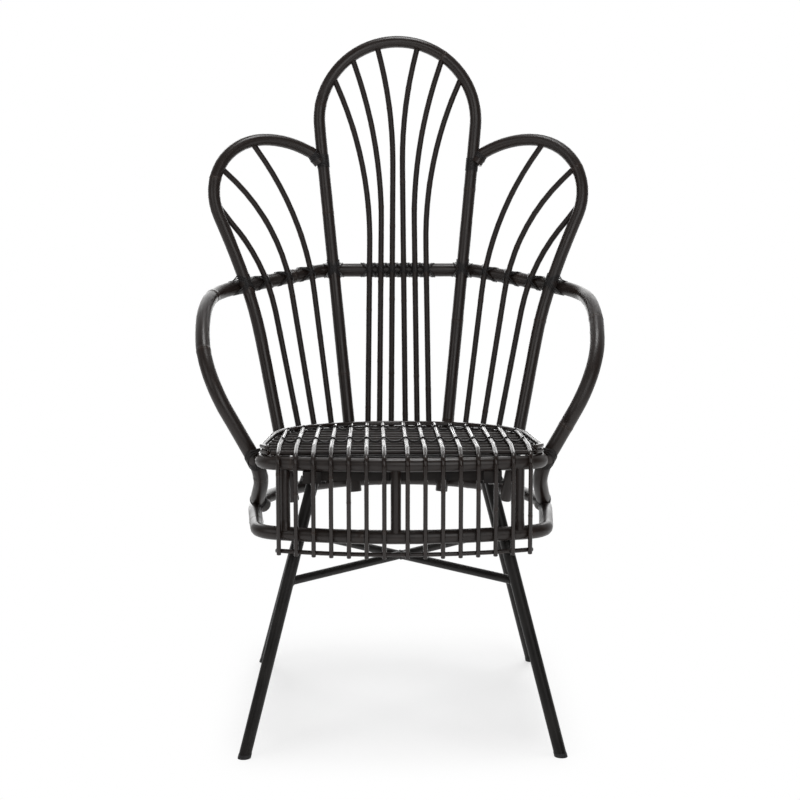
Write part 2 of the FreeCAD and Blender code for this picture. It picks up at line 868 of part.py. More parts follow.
def binding(first, second, held):
    """Cane bound round two poles where they cross: two sleeves, hollowed for all that they hold."""
    return first.fuse(second).cut(held)


def spindle_wraps():
    """Bindings of the right-hand spindles on the rail."""
    rail = arm_rail(wrap_play)
    around_rail = []
    for index in range(len(center_spindles)):
        rail_point = V((index + 0.5) * center_spindle_pitch, chair.rail_corner.y, chair.rail_corner.z)
        around_rail.append(sleeve(rail_point, ACROSS, rail_r, rail_wrap))
    for angle, place, bend, top_angle in side_spindles:
        around_rail.append(sleeve(chair.on_rail(place), chair.rail_way, rail_r, rail_wrap))
    lines = center_spindle_lines() + side_spindle_lines()
    held = right_center_spindles(wrap_play) + right_side_spindles(wrap_play)
    wraps = []
    for index, (low, high) in enumerate(lines):
        around_spindle = sleeve(high, high - low, spindle_r, spindle_wrap)
        wraps.append(binding(around_spindle, around_rail[index], [rail, held[index]]))
    return wraps


def rail_wraps():
    """Bindings of the right-hand back poles on the rail."""
    rail = arm_rail(wrap_play)
    around_pole = sleeve(chair.pole_rail, chair.pole_way, hoop_r, pole_wrap)
    behind_pole = V(chair.pole_rail.x, chair.rail_corner.y, chair.rail_corner.z)
    around_rail = sleeve(behind_pole, ACROSS, rail_r, rail_wrap)
    wraps = [binding(around_pole, around_rail, [rail, center_back_hoop(wrap_play)])]
    around_pole = sleeve(chair.outer_rail, chair.outer_rail - chair.outer_bow, hoop_r, pole_wrap)
    around_rail = sleeve(chair.on_rail(outer_pole_place), chair.rail_way, rail_r, rail_wrap)
    wraps.append(binding(around_pole, around_rail, [rail, right_back_hoop(wrap_play)]))
    return wraps


def ring_wraps():
    """Bindings of the right-hand back poles on the seat ring."""
    ring_held = seat_ring(wrap_play)
    around_pole = sleeve(chair.pole_seat, chair.pole_way, hoop_r, pole_wrap)
    around_ring = seat_ring_sleeve(*chair.ring_spot(center_pole_angle))
    wraps = [binding(around_pole, around_ring, [ring_held, center_back_hoop(wrap_play)])]
    around_pole = sleeve(chair.outer_seat, chair.outer_bow - chair.outer_seat, hoop_r, pole_wrap)
    around_ring = seat_ring_sleeve(*chair.ring_spot(outer_pole_angle))
    wraps.append(binding(around_pole, around_ring, [ring_held, right_back_hoop(wrap_play)]))
    return wraps


def lobe_joint_wrap():
    """Binding where the right side lobe butts on the centre hoop."""
    inner = chair.inner_radius
    angle = math.degrees(math.asin(lobe_reach / inner) - lobe_wrap_reach / inner)
    way = chair.lobe_out * cos(angle) + chair.lobe_up * sin(angle)
    crown = chair.on_lobe_arch(0)
    middle = crown - chair.lobe_out * (inner * sin(angle)) - chair.lobe_up * (inner * (1 - cos(angle)))
    around_pole = sleeve(chair.lobe_joint, chair.pole_way, hoop_r, ring_wrap)
    around_lobe = sleeve(middle, way, hoop_r, lobe_wrap)
    return binding(around_pole, around_lobe, [center_back_hoop(wrap_play), right_back_hoop(wrap_play)])


def arm_wraps():
    """Bindings where the right arm passes the seat ring and stands on the lower one."""
    arm = arm_rail(wrap_play)
    around_arm = sleeve(chair.arm_touch, chair.arm_way, rail_r, pole_wrap)
    around_ring = seat_ring_sleeve(chair.arm_ring_point, chair.arm_ring_way)
    side_wrap = binding(around_arm, around_ring, [arm, seat_ring(wrap_play)])
    low_way = unit((chair.arm_foot - chair.low_frame.multVec(chair.low_plan.rear_centre)).cross(UP))
    above = chair.arm_foot + chair.arm_foot_way * (ring_r + foot_wrap / 2)
    around_foot = sleeve(above, chair.arm_foot_way, rail_r, foot_wrap)
    around_ring = sleeve(chair.arm_foot, low_way, ring_r, ring_wrap)
    return [side_wrap, binding(around_foot, around_ring, [arm, lower_ring(wrap_play)])]


def build():
    """All nodes by name, each a list of solids."""
    nodes = {"seat_ring": [seat_ring()], "lower_ring": [lower_ring()]}
    right_hoop = right_back_hoop().cut(center_back_hoop(fit))
    nodes["center_back_hoop"] = [center_back_hoop()]
    nodes["left_back_hoop"] = [flipped(right_hoop)]
    nodes["right_back_hoop"] = [right_hoop]
    nodes["arm_rail"] = [arm_rail().cut(lower_ring(fit))]
    for number, shape in enumerate(right_center_spindles(), 1):
        nodes[f"left_center_spindle_{number}"] = [flipped(shape)]
        nodes[f"right_center_spindle_{number}"] = [shape]
    for number, shape in enumerate(right_side_spindles(), 1):
        nodes[f"left_spindle_{number}"] = [flipped(shape)]
        nodes[f"right_spindle_{number}"] = [shape]
    for number, rod in enumerate(seat_rods(), 1):
        nodes[f"seat_rod_{number:02d}"] = [rod]
    nodes["seat_edge_rod"] = [seat_edge_rod()]
    nodes["top_edge_rod"] = [top_edge_rod()]
    nodes["front_edge_rod"] = [front_edge_rod()]
    nodes["cross_rods"] = cross_rods()
    nodes["lower_trim_rod"] = [lower_trim_rod()]
    nodes["left_front_post"] = [post(-side_post_place)]
    nodes["center_front_post"] = [post(center_post_place)]
    nodes["right_front_post"] = [post(side_post_place)]
    screws = leg_screws()
    nodes["left_seat_bearer"] = [flipped(right_seat_bearer(screws))]
    nodes["right_seat_bearer"] = [right_seat_bearer(screws)]
    nodes["front_seat_bearer"] = [front_seat_bearer()]
    nodes["leg_plates"] = both_sides(leg_plates(screws))
    nodes["leg_screws"] = both_sides(screws)
    for name, side in (("front", -1), ("rear", 1)):
        nodes[f"left_{name}_leg"] = [flipped(right_leg(side))]
        nodes[f"right_{name}_leg"] = [right_leg(side)]
    nodes["long_stretcher"] = [long_stretcher()]
    front_half, rear_half = half_stretchers()
    nodes["front_half_stretcher"] = [front_half]
    nodes["rear_half_stretcher"] = [rear_half]
    nodes["foot_glides"] = both_sides([right_glide(-1), right_glide(1)])
    nodes["back_rail_wraps"] = both_sides(rail_wraps() + spindle_wraps())
    nodes["ring_wraps"] = both_sides(ring_wraps())
    nodes["lobe_joint_wraps"] = both_sides([lobe_joint_wrap()])
    nodes["arm_wraps"] = both_sides(arm_wraps())
    return nodes


def save(nodes):
    """Move the origin under the middle of the chair's box, and write one file per node."""
    os.makedirs("parts", exist_ok=True)
    boxes = [shape.optimalBoundingBox() for name in nodes for shape in nodes[name]]
    front = min(box.YMin for box in boxes)
    rear = max(box.YMax for box in boxes)
    shift = V(0, -(front + rear) / 2, 0)
    print("moved by", round(shift.y, 3), "nodes", len(nodes))
    for name in nodes:
        solids = [solid for shape in nodes[name] for solid in shape.Solids]
        shape = solids[0] if len(solids) == 1 else Part.makeCompound(solids)
        shape.translate(shift)
        shape.exportStep(f"parts/{name}.step")
        print(name, len(solids), "valid" if shape.isValid() else "NOT VALID", round(shape.Volume / 1000, 2))


save(build())
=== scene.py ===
# %% [markdown]
# # A black rattan lounge chair with a fan back
# The chair comes as a CAD frame in metres. Every pole, rod and spindle of that frame is a plain round
# tube. This lesson turns them into real rattan with joints and grain, winds cane round the crossings,
# adds weld beads to the iron base, gives every surface a finish, and lights it all like a catalogue page.

# %% Load the frame
import heapq
import math
import random

import bmesh
import bpy
from mathutils import Matrix, Vector, kdtree


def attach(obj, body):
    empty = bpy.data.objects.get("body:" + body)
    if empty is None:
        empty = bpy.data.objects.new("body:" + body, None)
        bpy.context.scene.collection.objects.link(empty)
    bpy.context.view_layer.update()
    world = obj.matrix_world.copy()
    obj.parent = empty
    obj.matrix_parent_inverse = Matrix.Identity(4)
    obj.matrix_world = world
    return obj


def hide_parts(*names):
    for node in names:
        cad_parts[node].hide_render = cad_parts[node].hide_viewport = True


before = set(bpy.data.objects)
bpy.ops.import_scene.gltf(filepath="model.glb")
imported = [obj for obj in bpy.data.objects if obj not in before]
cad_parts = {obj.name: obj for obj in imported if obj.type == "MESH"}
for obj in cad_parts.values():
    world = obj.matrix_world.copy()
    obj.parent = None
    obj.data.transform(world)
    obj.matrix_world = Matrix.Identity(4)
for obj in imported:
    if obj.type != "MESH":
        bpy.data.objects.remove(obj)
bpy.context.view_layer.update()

MM = 1000

# %% [markdown]
# ## Reading the middle line of a pole
# A rattan pole is a stick that was steamed and bent, so all that matters is its middle line and its
# thickness. The line could be typed in again, but the frame already holds it: the code walks along the
# tube's mesh from one end to the other, cuts it at even steps and takes the middle of each cut.
# The first walk is rough, so the cuts are squared to the line and taken again.

# %% Split a node into its solids
MERGE_GAP = 0.00002


def solids_of(node):
    """Points and edges of each separate solid in a CAD node, read from a merged copy."""
    mesh = bmesh.new()
    mesh.from_mesh(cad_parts[node].data)
    bmesh.ops.remove_doubles(mesh, verts=mesh.verts, dist=MERGE_GAP)
    unseen = dict.fromkeys(mesh.verts)
    solids = []
    while unseen:
        group = [unseen.popitem()[0]]
        for vert in group:
            for edge in vert.link_edges:
                other = edge.other_vert(vert)
                if other in unseen:
                    del unseen[other]
                    group.append(other)
        place = {vert: index for index, vert in enumerate(group)}
        edges = [(place[e.verts[0]], place[e.verts[1]]) for e in mesh.edges if e.verts[0] in place]
        solids.append(([vert.co.copy() for vert in group], edges))
    mesh.free()
    return solids


print("cross rods:", len(solids_of("cross_rods")), "solids")


# %% Walk along a solid
def walk(points, edges, start):
    """Shortest way along the edges from one point to every other."""
    links = [[] for point in points]
    for a, b in edges:
        length = (points[a] - points[b]).length
        links[a].append((b, length))
        links[b].append((a, length))
    reached = [math.inf] * len(points)
    reached[start] = 0.0
    heap = [(0.0, start)]
    while heap:
        so_far, point = heapq.heappop(heap)
        for other, length in links[point]:
            if so_far + length < reached[other]:
                reached[other] = so_far + length
                heapq.heappush(heap, (reached[other], other))
    return reached


def runs_of(line):
    """Distance along a line of each of its points."""
    runs = [0.0]
    for index in range(1, len(line)):
        runs.append(runs[-1] + (line[index] - line[index - 1]).length)
    return runs


post_points, post_edges = solids_of("center_front_post")[0]
print("centre post: walked", round(max(walk(post_points, post_edges, 0)), 3), "m from its first point")

# %% Cut it at even steps
POLE_STEP = 0.006
FEWEST_CUTS = 6
FEWEST_HITS = 6
LEAST_RISE = 1e-9
NEIGHBOURS = 24
WINDOW = 0.12


def middle_of(points):
    return sum(points, Vector()) / len(points)


def middles(points, edges, along, step):
    """Cuts across a tube at even steps along it: how far along, and the cut's middle."""
    longest = max(along)
    count = max(FEWEST_CUTS, round(longest / step))
    cuts = [[] for index in range(count + 1)]
    for a, b in edges:
        low, high = (a, b) if along[a] < along[b] else (b, a)
        rise = along[high] - along[low]
        if rise < LEAST_RISE:
            continue
        first = math.ceil(along[low] / longest * count)
        last = int(along[high] / longest * count)
        for index in range(first, last + 1):
            share = (index * longest / count - along[low]) / rise
            cuts[index].append(points[low].lerp(points[high], share))
    return [(index * longest / count, middle_of(cut))
            for index, cut in enumerate(cuts) if len(cut) >= FEWEST_HITS]


def squared(points, line, along):
    """Distance along the line of the place beside each point, near where it was before."""
    tree = kdtree.KDTree(len(line))
    for index, point in enumerate(line):
        tree.insert(point, index)
    tree.balance()
    runs = runs_of(line)
    shift = max(along) / runs[-1]
    result = []
    for point, before in zip(points, along):
        near = [hit for hit in tree.find_n(point, NEIGHBOURS) if abs(runs[hit[1]] * shift - before) < WINDOW]
        index = min(near or tree.find_n(point, 1), key=lambda hit: hit[2])[1]
        way = line[min(index + 1, len(line) - 1)] - line[max(index - 1, 0)]
        result.append(runs[index] + (point - line[index]).dot(way.normalized()))
    lowest = min(result)
    return [value - lowest for value in result]


post_cuts = middles(post_points, post_edges, walk(post_points, post_edges, 0), POLE_STEP)
print("centre post:", len(post_cuts), "cuts")

# %% Put it together: the middle line and radius of a solid
WALKS = 3
SMOOTHINGS = 2
END_CUTS = 2
END_SPAN = 3
CUT_SHARES = (0.3, 0.4, 0.5, 0.6, 0.7)
THICKEST = 0.02


def run_out(points, line, near, far):
    """The end of a line, run on to the furthest of the points that lie past it."""
    way = (line[near] - line[far]).normalized()
    return line[near] + way * max((point - line[near]).dot(way) for point in points)


def middle_line(points, edges, step):
    """Middle line of a bent tube, from end to end."""
    first = walk(points, edges, 0)
    start = max(range(len(points)), key=lambda index: first[index])
    along = walk(points, edges, start)
    for turn in range(WALKS):
        line = [middle for place, middle in middles(points, edges, along, step)]
        along = squared(points, line, along)
    cuts = middles(points, edges, along, step)[END_CUTS:-END_CUTS]
    line = [middle for place, middle in cuts]
    for turn in range(SMOOTHINGS):
        inner = [(line[i - 1] + line[i] * 2 + line[i + 1]) / 4 for i in range(1, len(line) - 1)]
        line = [line[0]] + inner + [line[-1]]
    head = [point for point, place in zip(points, along) if place < cuts[0][0]]
    tail = [point for point, place in zip(points, along) if place > cuts[-1][0]]
    return [run_out(head, line, 0, END_SPAN)] + line + [run_out(tail, line, -1, -1 - END_SPAN)]


def way_at(line, index):
    return (line[min(index + 1, len(line) - 1)] - line[max(index - 1, 0)]).normalized()


def radius_of(points, edges, line):
    """Distance from the line to the wall, at a few cuts away from the shaped ends."""
    gaps = []
    for share in CUT_SHARES:
        index = int(len(line) * share)
        way = way_at(line, index)
        sides = [(point - line[index]).dot(way) for point in points]
        for a, b in edges:
            if sides[a] * sides[b] < 0:
                wall = points[a].lerp(points[b], sides[a] / (sides[a] - sides[b]))
                gaps.append((wall - line[index]).length)
    near = sorted(gap for gap in gaps if gap < THICKEST)
    return near[len(near) // 2]


hoop_line = middle_line(*solids_of("center_back_hoop")[0], POLE_STEP)
print("centre hoop:", round(runs_of(hoop_line)[-1], 3), "m long")

# %% [markdown]
# ## From a line to a rattan pole
# Rattan grows in lengths with a joint every hand or so, and each joint is a low swelling with a fine
# scar round it. A curve with a round bevel makes the stick in one go, and every curve point has its own
# radius, so the joints, the slight unevenness and the softened ends are only numbers along the line.
# The curve becomes a mesh at the end, and its UV map is stretched to real metres for the grain.

# %% Curve to mesh
WELD_GAP = 0.000002
SMOOTH_ANGLE = math.radians(50)


def swept(name, points, depth, resolution, radii=None, closed=False, width=0.0, tilts=()):
    """Round pole or flat strip along the points, made as a path curve and turned into a mesh."""
    bpy.ops.object.select_all(action="DESELECT")
    bpy.ops.curve.primitive_nurbs_path_add()
    piece = bpy.context.object
    curve = piece.data
    curve.splines.clear()
    spline = curve.splines.new("POLY")
    spline.points.add(len(points) - 1)
    for place, point, radius in zip(spline.points, points, radii or [1.0] * len(points)):
        place.co = (*point, 1.0)
        place.radius = radius
    for place, tilt in zip(spline.points, tilts):
        place.tilt = tilt
    spline.use_cyclic_u = closed
    curve.dimensions = "3D"
    curve.twist_mode = "Z_UP" if width else "MINIMUM"
    curve.extrude = width / 2
    curve.bevel_depth = depth
    curve.bevel_resolution = resolution
    curve.use_fill_caps = not closed
    bpy.ops.object.convert(target="MESH")
    piece = bpy.context.object
    piece.location = (0, 0, 0)
    piece.name = name
    return piece


def closed_up(piece):
    """Merge the loose caps of a swept piece with its wall, and turn every face outwards."""
    bpy.ops.object.select_all(action="DESELECT")
    piece.select_set(True)
    bpy.context.view_layer.objects.active = piece
    bpy.ops.object.mode_set(mode="EDIT")
    bpy.ops.mesh.select_all(action="SELECT")
    bpy.ops.mesh.remove_doubles(threshold=WELD_GAP)
    bpy.ops.mesh.normals_make_consistent(inside=False)
    bpy.ops.object.mode_set(mode="OBJECT")
    bpy.ops.object.shade_smooth_by_angle(angle=SMOOTH_ANGLE)
    return piece


def joined(name, pieces):
    """Several meshes as one piece."""
    bpy.ops.object.select_all(action="DESELECT")
    for piece in pieces:
        piece.select_set(True)
    bpy.context.view_layer.objects.active = pieces[0]
    if len(pieces) > 1:
        bpy.ops.object.join()
    pieces[0].name = name
    return pieces[0]


print("seams close within", WELD_GAP * MM, "mm")

# %% Rings along a stick
# Millimetres from a joint, and how far it has swollen there
JOINT_PROFILE = ((-9.0, 0.0), (-3.5, 0.3), (-1.2, 0.85), (-0.5, 1.0),
                 (0.0, 0.2), (0.5, 0.8), (2.5, 0.3), (7.0, 0.0))
# Millimetres from a stick's end, and the share of its radius there
END_PROFILE = ((0.0, 0.72), (0.25, 0.86), (0.9, 0.97), (2.0, 1.0))
PLAIN_END = ((0.0, 1.0), (2.0, 1.0))
END_CLEAR = 0.0025
FIRST_JOINT = (0.3, 0.9)
NEXT_JOINT = (0.75, 1.25)
LAST_JOINT = 0.02
UNEVEN = 0.006
THICK_POLE = 0.011
MAX_TURN = math.radians(4.0)
MAX_RUN = 0.022
DIGITS = 5


def kept_places(line, runs):
    """Places worth a ring of faces: close together in bends, far apart on straight runs."""
    places = [0.0]
    last_way = line[1] - line[0]
    for index in range(1, len(line) - 1):
        way = line[index + 1] - line[index]
        if way.angle(last_way) > MAX_TURN or runs[index] - places[-1] > MAX_RUN:
            places.append(runs[index])
            last_way = way
    return places + [runs[-1]]


def joint_places(length, joint_gap, chance):
    """Places of the joints along a stick, at uneven gaps."""
    joints = []
    place = joint_gap * chance.uniform(*FIRST_JOINT)
    while place < length - LAST_JOINT:
        joints.append(place)
        place += joint_gap * chance.uniform(*NEXT_JOINT)
    return joints


def rings_of(line, runs, radius, joint_gap, swell, free_ends, chance):
    """Rings of a stick from end to end: how far along, share of the radius, and height on a joint."""
    size = 0.5 + 0.5 * radius / THICK_POLE
    joints = joint_places(runs[-1], joint_gap, chance)
    heights = {round(place, DIGITS): 0.0 for place in kept_places(line, runs)}
    for joint in joints:
        for offset, height in JOINT_PROFILE:
            heights[round(joint + offset * size / MM, DIGITS)] = height
    head = END_PROFILE if free_ends[0] else PLAIN_END
    tail = END_PROFILE if free_ends[1] else PLAIN_END
    rings = [(depth / MM, share, 0.0) for depth, share in head]
    for place in sorted(heights):
        if END_CLEAR < place < runs[-1] - END_CLEAR:
            share = 1 + swell * heights[place] + chance.uniform(-UNEVEN, UNEVEN)
            rings.append((place, share, heights[place]))
    return rings + [(runs[-1] - depth / MM, share, 0.0) for depth, share in reversed(tail)]


print("a joint swells over", JOINT_PROFILE[-1][0] - JOINT_PROFILE[0][0], "mm of a thick pole")

# %% One stick of rattan
GRAIN_STARTS = 97
GRAIN_STEP = 0.37


def point_at(line, runs, place):
    """The point a given distance along a line."""
    index = next((i for i in range(1, len(runs)) if runs[i] >= place), len(runs) - 1)
    span = runs[index] - runs[index - 1]
    share = (place - runs[index - 1]) / span if span else 0.0
    return line[index - 1].lerp(line[index], share)


def grain_start(name):
    """A start of the grain that is the same for a stick on every run."""
    return (sum(ord(letter) * (index + 3) for index, letter in enumerate(name)) % GRAIN_STARTS) * GRAIN_STEP


def rattan_stick(name, line, radius, joint_gap, swell, resolution, free_ends, chance):
    """One stick with joints at uneven gaps, softened free ends and a joint mask for its finish."""
    runs = runs_of(line)
    rings = rings_of(line, runs, radius, joint_gap, swell, free_ends, chance)
    points = [point_at(line, runs, place) for place, share, height in rings]
    stick = swept(name, points, radius, resolution, radii=[share for place, share, height in rings])
    sides = len(stick.data.vertices) // (len(rings) + 2)
    masks = [rings[-1][2]] * sides + [rings[0][2]] * sides
    for place, share, height in rings:
        masks += [height] * sides
    stick.data.attributes.new("joint", "FLOAT", "POINT").data.foreach_set("value", masks)
    around = 2 * math.pi * radius
    for corner in stick.data.uv_layers["UVMap"].data:
        corner.uv = (corner.uv.x * runs[-1] + grain_start(name), corner.uv.y * around)
    return closed_up(stick)


print("grain of the arm rail starts", round(grain_start("arm_rail_stick"), 2), "m along")

# %% Read every pole of the frame
node_names = sorted(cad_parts)
thick_poles = ["seat_ring", "lower_ring", "center_back_hoop", "left_back_hoop", "right_back_hoop", "arm_rail"]
spindles = [name for name in node_names if "spindle" in name]
seat_rods = [name for name in node_names if name.startswith("seat_rod_")]
posts = [name for name in node_names if name.endswith("_post")]
thin_rods = ["seat_edge_rod", "top_edge_rod", "front_edge_rod", "lower_trim_rod", "cross_rods"]
# Metres between the cuts: closer on thin sticks, which bend more sharply
cut_steps = ((thick_poles, POLE_STEP), (spindles + posts, 0.005), (seat_rods, 0.003), (thin_rods, 0.004))


def straightened(line):
    """The line of a rod that lies straight across the chair, rid of the waves that its notches bring."""
    half = len(line) // 2
    depth = sorted(point.y for point in line)[half]
    height = sorted(point.z for point in line)[half]
    return [Vector((point.x, depth, height)) for point in line]


found = {}
for names, step in cut_steps:
    for name in names:
        found[name] = []
        for points, edges in solids_of(name):
            line = middle_line(points, edges, step)
            if name == "cross_rods":
                line = straightened(line)
            found[name].append((line, radius_of(points, edges, line)))
lines = {name: sticks[0][0] for name, sticks in found.items()}
thickness = {name: sticks[0][1] for name, sticks in found.items()}
print("poles read:", {name: round(radius * 2 * MM, 1) for name, radius in thickness.items()}, "mm thick")

# %% Ends: free ones are softened, butted ones run on into the pole they meet
FREE_END_HEIGHT = 0.42
RUN_ON = 0.025
BURIED_SHARE = 0.5
NEAR_SPOTS = 40
spots = [(name, line[i], way_at(line, i), radius)
         for name, sticks in found.items() for line, radius in sticks for i in range(len(line))]
near_spots = kdtree.KDTree(len(spots))
for index, (name, place, way, radius) in enumerate(spots):
    near_spots.insert(place, index)
near_spots.balance()


def buried_end(node, end, way):
    """The end of a butted stick, run on until it is well inside the pole that it meets."""
    for step in range(int(RUN_ON * MM)):
        tip = end + way * (step / MM)
        for hit in near_spots.find_n(tip, NEAR_SPOTS):
            other, place, other_way, other_radius = spots[hit[1]]
            offset = place - tip
            aside = (offset - other_way * offset.dot(other_way)).length
            if other != node and aside < other_radius * BURIED_SHARE:
                return tip
    return end


def is_free(node, end):
    """Whether a stick's end shows: the edge and trim rods' ends, and the low tails of the upright ones."""
    if node.endswith("edge_rod") or node == "lower_trim_rod":
        return True
    hangs = "spindle" in node or "hoop" in node or node.startswith("seat_rod_")
    return hangs and end.z < FREE_END_HEIGHT


print("spots on the poles:", len(spots))

# %% Make every pole of the frame
# Metres between joints, swelling at a joint as a share of the radius, and bevel steps round the stick
makes = ((thick_poles, 0.23, 0.045, 5), (spindles, 0.17, 0.07, 3), (seat_rods, 0.15, 0.08, 2),
         (posts, 0.2, 0.05, 4), (thin_rods, 0.16, 0.07, 2))
rattan_pieces = []


def rattan_piece(node, joint_gap, swell, resolution):
    """The rattan that stands for a CAD node, stick by stick."""
    chance = random.Random(node)
    sticks = []
    for line, radius in found[node]:
        free_ends = (is_free(node, line[0]), is_free(node, line[-1]))
        line = line.copy()
        if not free_ends[0]:
            line[0] = buried_end(node, line[0], (line[0] - line[1]).normalized())
        if not free_ends[1]:
            line[-1] = buried_end(node, line[-1], (line[-1] - line[-2]).normalized())
        name = f"{node}_stick"
        sticks.append(rattan_stick(name, line, radius, joint_gap, swell, resolution, free_ends, chance))
    piece = joined(f"{node}_rattan", sticks)
    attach(piece, "root")
    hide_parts(node)
    rattan_pieces.append(piece)


for names, joint_gap, swell, resolution in makes:
    for name in names:
        rattan_piece(name, joint_gap, swell, resolution)
print("rattan pieces:", len(rattan_pieces), "faces", sum(len(p.data.polygons) for p in rattan_pieces))

# %% [markdown]
# ## Cane bindings
# Where two poles cross, the maker winds split cane over them crosswise, so an X shows in front. Each
# strand is a flat strip that runs round both poles in one slanted plane. In that plane a round pole
# shows as an ellipse, so the strand is the tight band round two ellipses: their convex hull. The poles
# are bent, so every point is then set on the pole itself, and the strip is turned flat on it there.
# The second slant lies on top of the first, which is why it is lifted by one strip's thickness.

# %% A strip of cane
CANE_WIDTH = 0.0027
CANE_THICK = 0.0007
CANE_GAP = 0.0001
CANE_STEP = CANE_WIDTH + CANE_GAP
UP = Vector((0.0, 0.0, 1.0))


def strip(name, points, faces_out, place, across, out):
    """Closed strip of cane along points in the frame of two directions, turned flat on the poles."""
    tilts = []
    for index, normal in enumerate(faces_out):
        way = (points[(index + 1) % len(points)] - points[index - 1]).normalized()
        up = (UP - way * UP.dot(way)).normalized()
        side = normal.cross(way).normalized()
        side = -side if side.dot(up) < 0 else side
        tilts.append(math.atan2(way.dot(up.cross(side)), up.dot(side)))
    flat = CANE_WIDTH - CANE_THICK
    piece = swept(name, points, CANE_THICK / 2, 1, closed=True, width=flat, tilts=tilts)
    turn = Matrix((across, out, across.cross(out))).transposed().to_4x4()
    piece.data.transform(Matrix.Translation(place) @ turn)
    return closed_up(piece)


print("cane strip:", CANE_WIDTH * MM, "x", CANE_THICK * MM, "mm")

# %% The band round two ellipses
ELLIPSE_POINTS = 28
ELLIPSE_ANGLES = [2 * math.pi * index / ELLIPSE_POINTS for index in range(ELLIPSE_POINTS)]


def hull(spots):
    """Convex outline of flat points, anticlockwise."""
    def half(ordered):
        chain = []
        for x, y in ordered:
            while len(chain) > 1:
                (ax, ay), (bx, by) = chain[-2:]
                if (bx - ax) * (y - ay) - (by - ay) * (x - ax) > 0:
                    break
                chain.pop()
            chain.append((x, y))
        return chain[:-1]
    ordered = sorted(spots)
    return half(ordered) + half(ordered[::-1])


def nearest(line, spot):
    """Number of the line's point nearest to a spot."""
    return min(range(len(line)), key=lambda index: (line[index] - spot).length_squared)


def hugged(line, spot, radius):
    """A spot set at a distance from a bent pole's middle line, and the way it faces there."""
    index = nearest(line, spot)
    way = way_at(line, index)
    middle = line[index] + way * (spot - line[index]).dot(way)
    normal = (spot - middle).normalized()
    return middle + normal * radius, normal


def slanted_band(poles, out, slant, shift, lift):
    """Points of a strand that runs slantwise round the poles, and which way the pole faces at each."""
    across_way = slant.cross(out)
    middle = poles[0][0]
    base = middle + across_way * shift
    turn = Matrix((slant, out, across_way))
    hugs = {}
    for place, way, radius, line in poles:
        round_radius = radius + lift + CANE_THICK / 2
        offset = place - middle
        run = (shift - offset.dot(across_way)) / way.dot(across_way)
        x_middle = offset.dot(slant) + run * way.dot(slant)
        y_middle = offset.dot(out)
        x_half = round_radius / math.sqrt(1 - way.dot(slant) ** 2)
        for angle in ELLIPSE_ANGLES:
            x = x_middle + x_half * math.cos(angle)
            y = y_middle + round_radius * math.sin(angle)
            spot, normal = hugged(line, base + slant * x + out * y, round_radius)
            hugs[x, y] = turn @ (spot - base), turn @ normal
    outline = hull(hugs)
    return [hugs[spot][0] for spot in outline], [hugs[spot][1] for spot in outline]


print("a square's outline has", len(hull([(0, 0), (1, 0), (1, 1), (0, 1), (0.5, 0.5)])), "corners")


# %% Crossings and turns
def closest_pair(first, first_way, second, second_way):
    """Points where two straight runs pass closest."""
    tilt = first_way.dot(second_way)
    gap = first - second
    scale = 1 - tilt * tilt
    first_run = (tilt * gap.dot(second_way) - gap.dot(first_way)) / scale
    second_run = (gap.dot(second_way) - tilt * gap.dot(first_way)) / scale
    return first + first_way * first_run, second + second_way * second_run


def crossed_strands(name, first, second, spot, count):
    """Two layers of slanted strands where the first pole crosses the second near a spot."""
    first_index = nearest(lines[first], spot)
    second_index = nearest(lines[second], lines[first][first_index])
    first_way = way_at(lines[first], first_index)
    second_way = way_at(lines[second], second_index)
    places = closest_pair(lines[first][first_index], first_way, lines[second][second_index], second_way)
    out = first_way.cross(second_way).normalized()
    if out.dot(places[0] - places[1]) < 0:
        out = -out
    poles = [(places[0], first_way, thickness[first], lines[first]),
             (places[1], second_way, thickness[second], lines[second])]
    strands = []
    for layer, sign in enumerate((1, -1)):
        slant = (first_way + second_way * sign).normalized()
        for strand in range(count):
            shift = (strand - (count - 1) / 2) * CANE_STEP
            points, faces_out = slanted_band(poles, out, slant, shift, layer * CANE_THICK)
            base = places[0] + slant.cross(out) * shift
            strands.append(strip(name, points, faces_out, base, slant, out))
    return strands


def turns(name, pole, start, step_sign, count, clear):
    """Plain turns side by side round a pole, beginning a clear distance from a spot on it."""
    line = lines[pole]
    runs = runs_of(line)
    begin = runs[nearest(line, start)]
    radius = thickness[pole] + CANE_THICK / 2
    faces_out = [Vector((math.cos(angle), math.sin(angle), 0.0)) for angle in ELLIPSE_ANGLES]
    points = [normal * radius for normal in faces_out]
    strands = []
    for turn in range(count):
        spot = point_at(line, runs, begin + step_sign * (clear + turn * CANE_STEP))
        way = way_at(line, nearest(line, spot))
        across = way.orthogonal().normalized()
        strands.append(strip(name, points, faces_out, spot, across, way.cross(across)))
    return strands


def cane_piece(name, node, strands):
    """The cane that stands for a node of plain sleeves."""
    piece = joined(name, strands)
    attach(piece, "root")
    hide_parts(node)
    print(name, "has", len(strands), "strands and", len(piece.data.polygons), "faces")
    return piece


# %% Bind the back to the rail and to the seat ring
SPINDLE_STRANDS = 2
POLE_STRANDS = 3


def pole_at(spot, names):
    """Name of the pole that passes nearest to a spot."""
    return min(names, key=lambda name: (lines[name][nearest(lines[name], spot)] - spot).length)


hoops = [name for name in lines if name.endswith("hoop")]
back_poles = [name for name in lines if name.endswith("hoop") or "spindle" in name]
rail_strands = []
for points, edges in solids_of("back_rail_wraps"):
    spot = middle_of(points)
    pole = pole_at(spot, back_poles)
    count = SPINDLE_STRANDS if "spindle" in pole else POLE_STRANDS
    rail_strands += crossed_strands("rail_strand", pole, "arm_rail", spot, count)
rail_cane = cane_piece("back_rail_cane", "back_rail_wraps", rail_strands)

